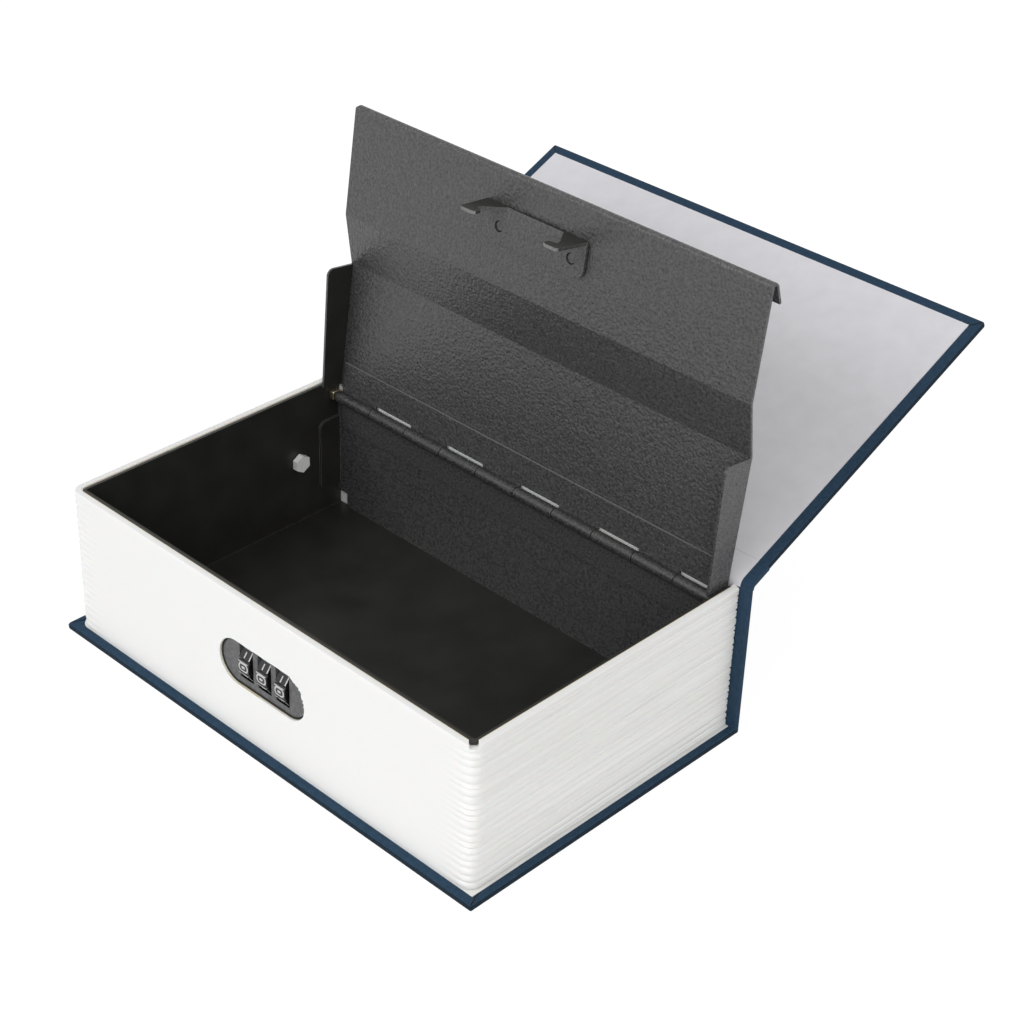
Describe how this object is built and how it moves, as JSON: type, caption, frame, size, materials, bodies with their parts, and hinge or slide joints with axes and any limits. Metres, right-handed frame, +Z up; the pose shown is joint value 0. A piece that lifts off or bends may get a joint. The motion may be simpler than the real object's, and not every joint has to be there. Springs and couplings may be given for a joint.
{
  "type": "book diversion safe",
  "caption": "Hardcover book, standing open, whose page block holds a steel cash box with a hinged lid and a combination lock in the fore-edge.",
  "frame": {"origin": "centre of the underside of the lower cover, which lies on the table", "axes": "+Z up, +X from the head to the tail of the book, -Y towards the fore-edge with the lock"},
  "size_m": [0.183, 0.2217, 0.1478],
  "materials": {
    "cloth": "dark blue book cloth, matt with a fine weave",
    "board": "grey board, matt",
    "paper": "white endpaper, matt",
    "page": "white moulded plastic, matt",
    "hammered": "dark grey hammered powder coat on sheet steel",
    "black_steel": "near black satin powder coat on sheet steel",
    "zinc": "zinc plated steel",
    "screw": "bright plated steel",
    "lock_face": "dark grey satin die casting",
    "dial": "near black plastic with pale numbers",
    "steel": "plain steel",
    "lock_body": "black plastic"
  },
  "bodies": {
    "book_and_box": {"lower_board": "board", "spine_board": "board", "case_cloth": "cloth", "lower_endpaper": "paper", "cover_joint": "cloth", "joint_endpaper": "paper", "page_block": "page", "box_body": "black_steel", "side_screw_head": "screw", "side_screw_tail": "screw", "hinge_box_leaf": "hammered", "hinge_pin": "zinc", "lock_face": "lock_face", "dial_spindle": "steel", "lock_case": "lock_body", "lock_screw_1": "screw", "lock_screw_2": "screw", "detent_spring": "steel", "catch_spring": "steel"},
    "upper_cover": {"upper_board": "board", "upper_cloth": "cloth", "upper_endpaper": "paper"},
    "lid": {"hinge_lid_leaf": "hammered", "lid_panel": "hammered", "latch_bracket": "hammered", "bracket_rivet_1": "hammered", "bracket_rivet_2": "hammered"},
    "dial_left": {"dial_1": "dial", "code_cam_1": "steel"},
    "dial_middle": {"dial_2": "dial", "code_cam_2": "steel"},
    "dial_right": {"dial_3": "dial", "code_cam_3": "steel"},
    "catch": {"catch_plate": "steel"},
    "code_reset": {"reset_slider": "lock_body"}
  },
  "joints": [
    {"name": "lid_hinge", "type": "hinge", "parent": "book_and_box", "child": "lid", "pos_m": [0, 0.0508, 0.0476], "axis": [1, 0, 0], "range_deg": [0, 97.6]},
    {"name": "cover_hinge", "type": "hinge", "parent": "book_and_box", "child": "upper_cover", "pos_m": [0, 0.0575, 0.0545], "axis": [1, 0, 0], "range_deg": [0, 155.9], "deforming": ["cover_joint", "joint_endpaper"]},
    {"name": "dial_left_turn", "type": "hinge", "parent": "book_and_box", "child": "dial_left", "pos_m": [0, -0.0477, 0.0288], "axis": [1, 0, 0], "continuous": true},
    {"name": "dial_middle_turn", "type": "hinge", "parent": "book_and_box", "child": "dial_middle", "pos_m": [0, -0.0477, 0.0288], "axis": [1, 0, 0], "continuous": true},
    {"name": "dial_right_turn", "type": "hinge", "parent": "book_and_box", "child": "dial_right", "pos_m": [0, -0.0477, 0.0288], "axis": [1, 0, 0], "continuous": true},
    {"name": "catch_slide", "type": "slide", "parent": "book_and_box", "child": "catch", "axis": [0, -1, 0], "range_m": [0, 0.0024], "stiffness_N_per_m": 60, "springref_m": -0.004, "deforming": ["catch_spring"]},
    {"name": "code_reset_slide", "type": "slide", "parent": "book_and_box", "child": "code_reset", "axis": [1, 0, 0], "range_m": [-0.0035, 0.0035]}
  ],
  "couplings": [
    {"joint": "cover_hinge", "follows": "lid_hinge", "ratio": 1.5973}
  ]
}
